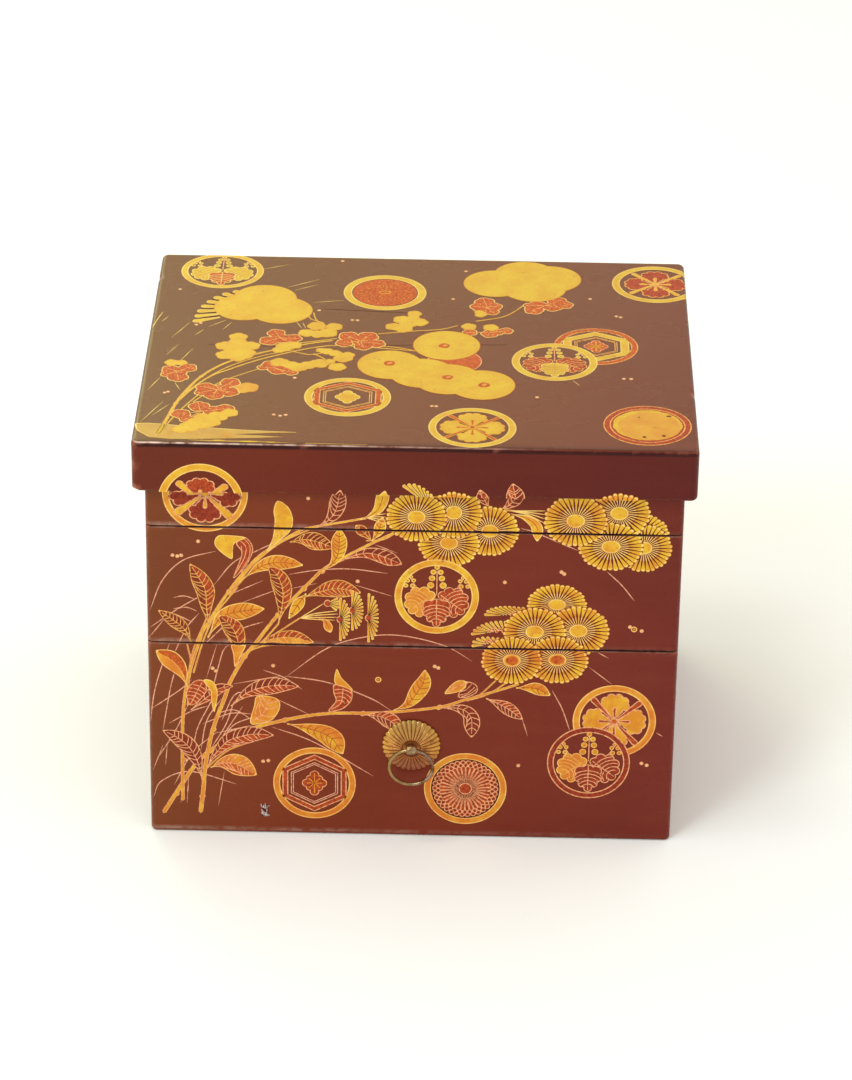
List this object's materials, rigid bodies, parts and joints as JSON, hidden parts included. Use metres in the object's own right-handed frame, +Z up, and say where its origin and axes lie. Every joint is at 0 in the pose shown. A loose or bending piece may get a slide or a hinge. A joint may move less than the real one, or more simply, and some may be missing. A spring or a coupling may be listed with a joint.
{
  "type": "stacked lacquer food box",
  "caption": "Rectangular stacked food box of three nested lacquered tiers under a deep covering lid, with a domed rosette and a hanging cord ring front and back.",
  "frame": {"origin": "middle of the underside of the stack", "axes": "+X along the long side, to the right of someone facing the front; -Y is the front; +Z up"},
  "size_m": [0.26, 0.2172, 0.2115],
  "materials": {
    "brown_lacquer": "polished red-brown lacquer over wood",
    "gold_decoration": "sprinkled gold powder in lacquer, slightly raised",
    "red_decoration": "red lacquer with fine gold lines",
    "gilt_copper": "worn gilding on fluted copper",
    "worn_silver": "rubbed silvered copper"
  },
  "bodies": {
    "box_stack": {"lid": "brown_lacquer", "upper_tray": "brown_lacquer", "middle_tray": "brown_lacquer", "bottom_box": "brown_lacquer", "front_rosette": "gilt_copper", "front_eye": "worn_silver", "back_rosette": "gilt_copper", "back_eye": "worn_silver"},
    "front_ring": {"front_ring": "worn_silver"},
    "back_ring": {"back_ring": "worn_silver"}
  },
  "joints": [
    {"name": "front_ring_swing", "type": "hinge", "parent": "box_stack", "child": "front_ring", "pos_m": [0, -0.106, 0.0516], "axis": [-1, 0, 0], "range_deg": [-15, 195]},
    {"name": "back_ring_swing", "type": "hinge", "parent": "box_stack", "child": "back_ring", "pos_m": [0, 0.106, 0.0516], "axis": [1, 0, 0], "range_deg": [-15, 195]}
  ]
}
